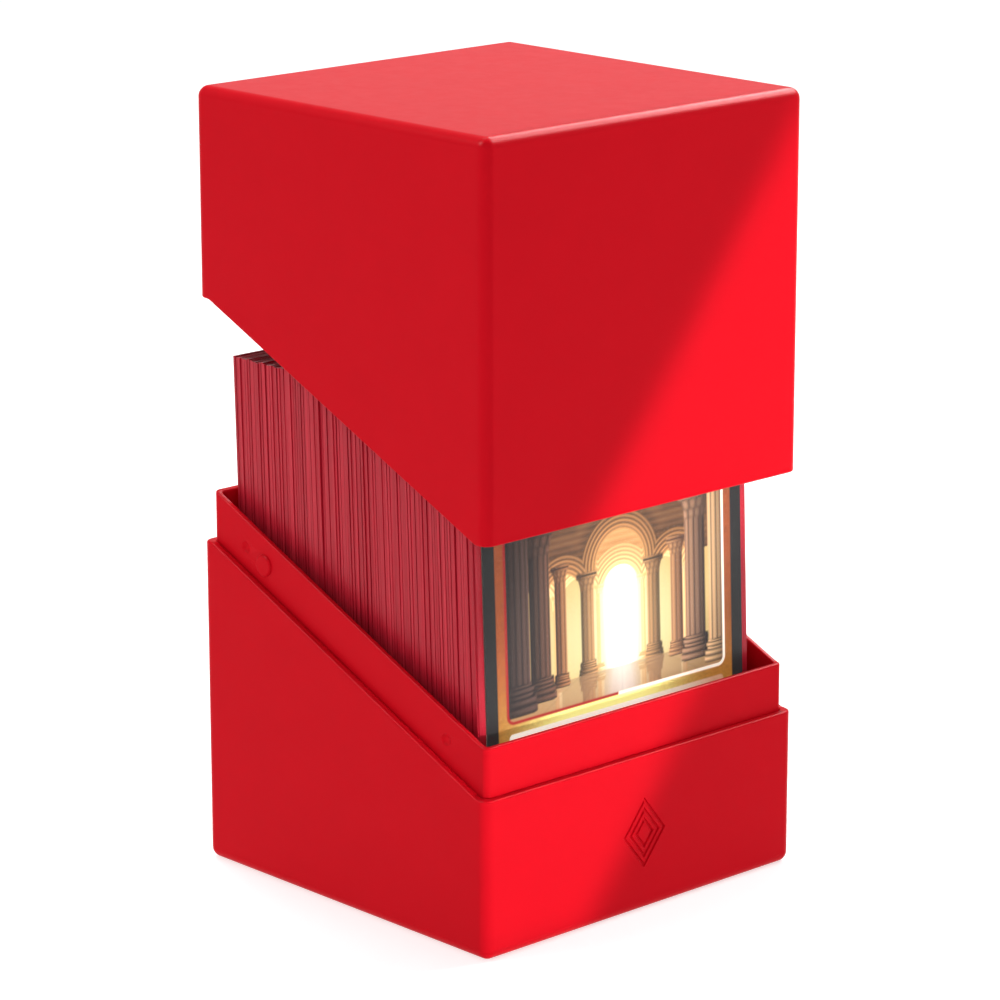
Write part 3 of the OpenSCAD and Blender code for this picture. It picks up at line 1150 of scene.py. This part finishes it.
def front_card_mesh():
    """The front card: a fine grid with the print on its front, and sides and back in a dark reddish grey that
    paints the shade inside the sleeve.
    """
    flat_x, flat_z = print_grid()
    colours = print_and_painted_light(flat_x, flat_z).reshape(-1, 3)
    xs, zs = with_round_corners(flat_x, flat_z)
    front_y = CARD_BEHIND + PRINT_GAP
    back_y = CARD_BEHIND + CARD_T

    def placed(x, y, z):
        return stood((x + FRONT_SHIFT, y, z + CARD_RISE), 0)

    shape = Shape()
    grid = [shape.ring([placed(x, front_y, z) for x, z in zip(*row)]) for row in zip(xs, zs)]
    for near, far in zip(grid, grid[1:]):
        shape.strip(near, far, closed=False)
    border = grid[0][:-1] + [row[-1] for row in grid[:-1]] + grid[-1][:0:-1] + [row[0] for row in grid[:0:-1]]
    back = shape.ring([placed(xs.flat[n], back_y, zs.flat[n]) for n in border])
    shape.strip(border, back)
    shape.fill(back)
    mesh = shape.mesh("front_card_print")
    attribute = mesh.color_attributes.new("print", "FLOAT_COLOR", "POINT")
    values = np.ones((len(mesh.vertices), 4))
    values[: len(colours), :3] = colours
    # Painted shade: the card's white sides and back get a dark reddish grey for the shade in the sleeve.
    values[len(colours) :, :3] = linear(112, 94, 90)
    attribute.data.foreach_set("color", values.ravel())
    return mesh


def add_deck():
    film = sleeve_film()
    stock = card_stock()
    add_stacks(film, stock)
    mesh = film_sheet("front_sleeve_film", 1)
    tint_sleeves(mesh, [0.8], len(mesh.vertices))
    add_piece(mesh, "front_sleeve_film", film, "deck", "sleeve_film", "front_sleeve_back")
    mesh = film_sheet("front_sleeve_clear", -1)
    add_piece(mesh, "front_sleeve_clear", clear_film(), "deck", "clear_film", "front_sleeve_window")
    add_piece(front_card_mesh(), "front_card_print", card_print(), "deck", "card_print", "front_card")


def add_box():
    mouldings = (
        (base_moulding, "base", "base_plastic", "base_shell"),
        (tray_moulding, "base", "tray_plastic", "inner_tray"),
        (lid_moulding, "lid", "lid_plastic", "lid_shell"),
    )
    for number, (build, body, slot, node) in enumerate(mouldings):
        mesh = build()
        material = moulded_plastic(slot, (0.03 * number, 0.02 * number, 0))
        even_shading(add_piece(mesh, mesh.name, material, body, slot, node))


# ---------------------------------------------------------------- studio

WORLD_LEVEL = 1.0  # light from the horizon and below
WORLD_ABOVE = 0.3  # light from straight up
FLOOR_HALF = 3.0
FLOOR_GLOW = 0.62  # the floor is a light table


def add_floor():
    """A plain pale floor with a slight grain."""
    shape = Shape()
    reach = FLOOR_HALF / MM
    corners = ((-1, -1), (1, -1), (1, 1), (-1, 1))
    shape.fill(shape.ring([(x * reach, y * reach, 0) for x, y in corners]))
    mesh = shape.mesh("floor")
    made = Nodes("floor")
    grain = made.range(made.noise(3, 3), 0, 1)
    made.join(made.between(grain, (0.54, 0.54, 0.54), (0.56, 0.56, 0.56)), made.shader.inputs["Base Color"])
    made.set(Roughness=0.8, Specular_IOR_Level=0.1, Emission_Color=(1, 1, 1, 1), Emission_Strength=FLOOR_GLOW)
    mesh.materials.append(made.material)
    floor = bpy.data.objects.new("floor", mesh)
    bpy.context.scene.collection.objects.link(floor)


def add_world():
    """Even white light all round, dimmer from above."""
    world = bpy.data.worlds.new("world")
    bpy.context.scene.world = world
    world.use_nodes = True
    tree = world.node_tree
    background = tree.nodes["Background"]
    background.inputs["Color"].default_value = (1, 1, 1, 1)
    place = tree.nodes.new("ShaderNodeTexCoord")
    parts = tree.nodes.new("ShaderNodeSeparateXYZ")
    strength = tree.nodes.new("ShaderNodeMapRange")
    strength.inputs["To Min"].default_value = WORLD_LEVEL
    strength.inputs["To Max"].default_value = WORLD_ABOVE
    tree.links.new(place.outputs["Generated"], parts.inputs["Vector"])
    tree.links.new(parts.outputs["Z"], strength.inputs["Value"])
    tree.links.new(strength.outputs["Result"], background.inputs["Strength"])


def add_softbox(name, at, toward, size, power, spread=180.0, turn=0.0, glint=False):
    """A rectangular soft light. turn rolls it about its own beam. A glint shows in gloss only."""
    light = bpy.data.lights.new(name, "AREA")
    light.shape = "RECTANGLE"
    light.size, light.size_y = size
    light.energy = power
    light.spread = math.radians(spread)
    shown = bpy.data.objects.new(name, light)
    shown.location = at
    aim = Vector(toward) - Vector(at)
    rolled = Matrix.Rotation(math.radians(turn), 3, "Z")
    shown.rotation_euler = (aim.to_track_quat("-Z", "Y").to_matrix() @ rolled).to_euler()
    shown.visible_camera = False
    shown.visible_diffuse = not glint
    bpy.context.scene.collection.objects.link(shown)


BEAM_ANGLE = 52.5  # of the bright band on the front, from level
BEAM_WIDTH = 0.043
BEAM_MIDDLE = (0, 0.055)


def add_lights():
    add_softbox("top", (0.12, 0.35, 0.95), (0, 0, 0.1), (0.35, 0.35), 6.4)
    add_softbox("edge", (0.55, -0.22, 0.70), (0, 0, 0.1), (0.14, 0.14), 3.2)
    add_softbox("edge_glint", (0.62, 0, 0.66), (0, 0, 0.14), (0.75, 0.24), 26, glint=True)
    add_softbox("left", (-0.58, 0.24, 0.72), (-0.04, 0, 0.06), (0.3, 0.3), 1.7)
    add_softbox("left_glint", (-0.56, 0.26, 0.70), (-0.04, 0, 0.06), (0.3, 0.3), 16, glint=True)
    x, z = BEAM_MIDDLE
    add_softbox("beam", (x, -0.2, z), (x, 0, z), (0.32, BEAM_WIDTH), 0.039, 4.8, BEAM_ANGLE)


make_camera()
add_box()
add_deck()
add_floor()
add_world()
add_lights()
bpy.context.scene.view_settings.view_transform = "Standard"
